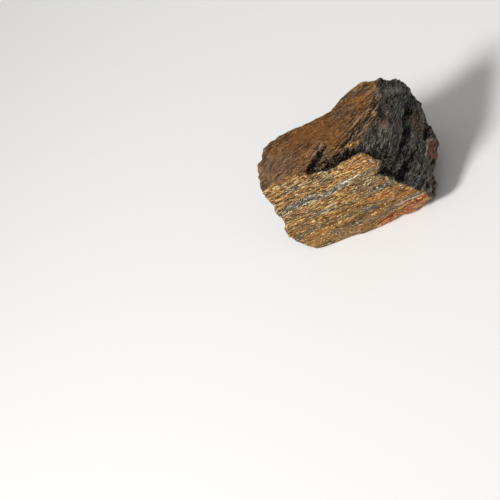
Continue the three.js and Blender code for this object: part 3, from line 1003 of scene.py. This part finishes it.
def brown_top(recipe, grains):
    """Colour of the cleaved top: brown, rosy, amber and olive patches with grit, creases along the
    grain, clefts where it is rosy or broken, and dark cracks of painted shade. The rosy colours also
    paint a highlight on the crevice's lit lip."""
    rose, amber, broken = recipe.painted("rose"), recipe.painted("amber"), recipe.painted("broken")
    ribs = recipe.noise((1.9, 0.46, 1.2), 3, GRAIN_TURN, 0.62, 0.7)
    patches = recipe.noise((6, 4, 4), 3, GRAIN_TURN)
    creases = abs(recipe.noise((3.6, 1.1, 1.5), 2, CREASE_TURN, 0.5, 0.4) - 0.5)
    clefts = abs(recipe.noise((5.2, 0.52, 1.5), 2, CLEFT_TURN, 0.6, 0.3) - 0.5)
    grit = ribs * 0.45 + grains * 0.55 + recipe.painted("crest") * 0.5
    return recipe.coats(
        recipe.colours(patches, BROWN_PATCHES),
        (recipe.colours(patches, ROSE_PATCHES), rose * 0.7),
        (AMBER, amber * 0.75),
        (OLIVE, recipe.painted("olive") * 0.7),
        (WINE, recipe.painted("wine") * recipe.remap(grains, 0.42, 0.56) * 0.8),
        (GRIT_SHADOW, recipe.remap(grit, 0.5, 0.41) * (0.84 - amber * 0.3)),
        (GRIT_SHINE, recipe.remap(grit, 0.52, 0.63) * (0.5 - amber * 0.25)),
        (CREASE, recipe.remap(creases, 0.022, 0.002) * 0.75),
        (ROSE_CLEFT, recipe.remap(clefts, 0.05, 0.01) * rose * 0.7),
        (ROSE_RIDGE, recipe.remap(clefts, 0.09, 0.14) * rose * 0.42),
        (BROKEN_RIDGE, recipe.remap(clefts, 0.07, 0.11) * broken * 0.55),
        (BROKEN_CLEFT, recipe.remap(clefts, 0.055, 0.015) * broken * 0.95),
        (CRACK_SHADE_COLOUR, recipe.painted("cracked") * 0.95))


CHARCOAL_CLOTS = ((0.36, (36, 35, 31)), (0.48, (66, 62, 54)), (0.62, (88, 83, 74)))
UMBER = srgb(78, 62, 52)
BRICK = srgb(136, 88, 66)
# Steel blue, also painted as shade where the crust turns away at the back edge.
STEEL_AND_EDGE_SHADE = srgb(52, 60, 66)
PIT = srgb(7, 7, 6)
WHISKER = srgb(158, 153, 140)
STRAW = srgb(164, 130, 76)


def charcoal_end(recipe, grains):
    """Colour and mat of the crust: clots of charcoal with umber, brick and steel patches, black in
    its pits and paler on its whiskers, with a little straw. Some steel patches are painted shade
    where the crust turns away at the back edge."""
    umber, brick = recipe.painted("umber"), recipe.painted("brick")
    mat = recipe.noise((0.4, 2.0, 0.26), 3, MAT_TURN, 0.6, 0.3)
    clots = recipe.noise((1.8, 2.8, 1.5), 2)
    mat = recipe.blend(mat, grains, umber * 0.6 + 0.1)
    crust = recipe.node("ShaderNodeRGBToBW", None, {"Color": mat}) + recipe.painted("crest") * 0.16
    colour = recipe.coats(
        recipe.colours(clots, CHARCOAL_CLOTS),
        (UMBER, umber * 0.7),
        (BRICK, brick),
        (STEEL_AND_EDGE_SHADE, recipe.painted("steel") * 0.75),
        (PIT, recipe.remap(crust, 0.5, 0.4) * 0.86),
        (WHISKER, recipe.remap(crust, 0.52, 0.65) * (0.66 - brick * 0.5)),
        (STRAW, recipe.painted("straw") * recipe.remap(grains, 0.46, 0.56) * 0.85))
    return colour, mat


# Painted shade and painted black shade in the hollows.
SHADE = srgb(54, 45, 33)
HOLLOW_BLACK_SHADE = srgb(9, 7, 5)
# Pale specks painted as highlights in the shaded hollows.
BROWN_SPECK_HIGHLIGHT = srgb(176, 150, 118)
DARK_SPECK_HIGHLIGHT = srgb(122, 120, 108)
# Edges painted pale, partly rubbed and partly as painted highlights.
RUBBED_AND_HIGHLIT_BROWN = srgb(206, 198, 178)
RUBBED_AND_HIGHLIT_GOLD = srgb(246, 240, 222)
ROUGHNESS = 0.68
GOLD_SMOOTHER = 0.2
DARK_ROUGHER = 0.2
GOLD_METAL = 0.2
# Metallic in the painted black shade of the hollows.
BLACK_SHADE_METAL = 0.75
SPECULAR = 0.3
BUMP_STRENGTH = 0.9
BUMP_DEPTH = 0.4


def bronzite_surface():
    """The stone's one material: three finishes mixed by what is painted on its points, then painted
    shade, painted black shade and pale specks painted as highlights in the hollows, and edges
    painted pale, partly as rubbed wear and partly as painted highlights."""
    recipe = Recipe("bronzite")
    gold, dark, hollow = recipe.painted("gold"), recipe.painted("dark"), recipe.painted("hollow")
    grains = recipe.noise((0.5, 0.32, 0.4), 2, GRAIN_TURN, 0.6)
    dust = recipe.noise((0.8, 0.5, 0.6), 3, GRAIN_TURN, 0.7)
    specks = recipe.noise((0.6, 0.42, 0.4), 1, GRAIN_TURN)
    golden, weave = golden_front(recipe)
    charcoal, mat = charcoal_end(recipe, grains)
    shaded = recipe.remap(hollow, 0.05, 0.6)
    # Black painted as shade in the deepest hollows, broken by scatter.
    black_shade = recipe.remap(hollow + (dust - 0.5) * 3, 0.32, 0.72)
    # Pale specks painted as highlights in the painted shade of the hollows.
    speck_highlights = recipe.remap(specks, 0.57, 0.64) * shaded * (1.25 - hollow)
    rubbed = recipe.painted("rubbed") * recipe.remap(dust, 0.38, 0.5)
    colour = recipe.coats(
        brown_top(recipe, grains),
        (golden, gold),
        (charcoal, dark),
        (SHADE, shaded * 0.6),
        (HOLLOW_BLACK_SHADE, black_shade * 0.97),
        (recipe.blend(BROWN_SPECK_HIGHLIGHT, DARK_SPECK_HIGHLIGHT, dark), speck_highlights * 0.8),
        (recipe.blend(RUBBED_AND_HIGHLIT_BROWN, RUBBED_AND_HIGHLIT_GOLD, gold), rubbed * 0.85))

    skin = recipe.blend(recipe.blend(grains, weave, gold), mat, dark)
    bump = {"Height": skin, "Strength": BUMP_STRENGTH, "Distance": BUMP_DEPTH * MM}
    surface = recipe.node("ShaderNodeBsdfPrincipled", None, {
        "Base Color": colour,
        "Roughness": ROUGHNESS - gold * GOLD_SMOOTHER + dark * DARK_ROUGHER,
        "Metallic": gold * (1 - dark) * GOLD_METAL + black_shade * BLACK_SHADE_METAL,
        "Normal": recipe.node("ShaderNodeBump", None, bump),
        "Specular IOR Level": SPECULAR})
    recipe.node("ShaderNodeOutputMaterial", None, {"Surface": surface})
    return recipe.material


stone.data.materials.append(bronzite_surface())
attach(stone, "root")
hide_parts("stone")

# ---------------------------------------------------------------- the floor and the light
# A plain pale floor, a soft key from above on the splintered side, and a weaker fill beside the
# camera so that the dark end keeps its shape.
FLOOR_HALF = 1500
FLOOR_DROP = 0.02
FLOOR_COLOUR = srgb(236, 235, 233)
FLOOR_ROUGHNESS = 0.9
KEY = {"distance": 600, "azimuth": -30, "elevation": 52, "size": 160, "watts": 3.1}
FILL = {"distance": 700, "azimuth": 62, "elevation": 30, "size": 500, "watts": 0.9}
SKY = 0.3


def floor_sheet():
    """A square sheet just under the stone."""
    corners = FLOOR_HALF * np.array([[-1, -1, 0], [1, -1, 0], [1, 1, 0], [-1, 1, 0]], float)
    corners[:, 2] = -FLOOR_DROP
    floor = write_mesh("floor", corners, np.array([[0, 1, 2, 3]]))
    recipe = Recipe("pale_floor")
    sockets = {"Base Color": FLOOR_COLOUR, "Roughness": FLOOR_ROUGHNESS}
    surface = recipe.node("ShaderNodeBsdfPrincipled", None, sockets)
    recipe.node("ShaderNodeOutputMaterial", None, {"Surface": surface})
    floor.data.materials.append(recipe.material)


def soft_lamp(name, distance, azimuth, elevation, size, watts):
    """A square lamp that looks at the stone's middle."""
    light = bpy.data.lights.new(name, "AREA")
    light.energy = watts
    light.size = size * MM
    lamp = bpy.data.objects.new(name, light)
    stand_back(lamp, Vector((0, 0, HEIGHT / 2)), distance, azimuth, elevation)


floor_sheet()
soft_lamp("key", **KEY)
soft_lamp("fill", **FILL)
world = bpy.data.worlds.new("studio")
world.use_nodes = True
world.node_tree.nodes["Background"].inputs["Color"].default_value = (SKY, SKY, SKY, 1)
bpy.context.scene.world = world
bpy.context.scene.view_settings.view_transform = "Standard"
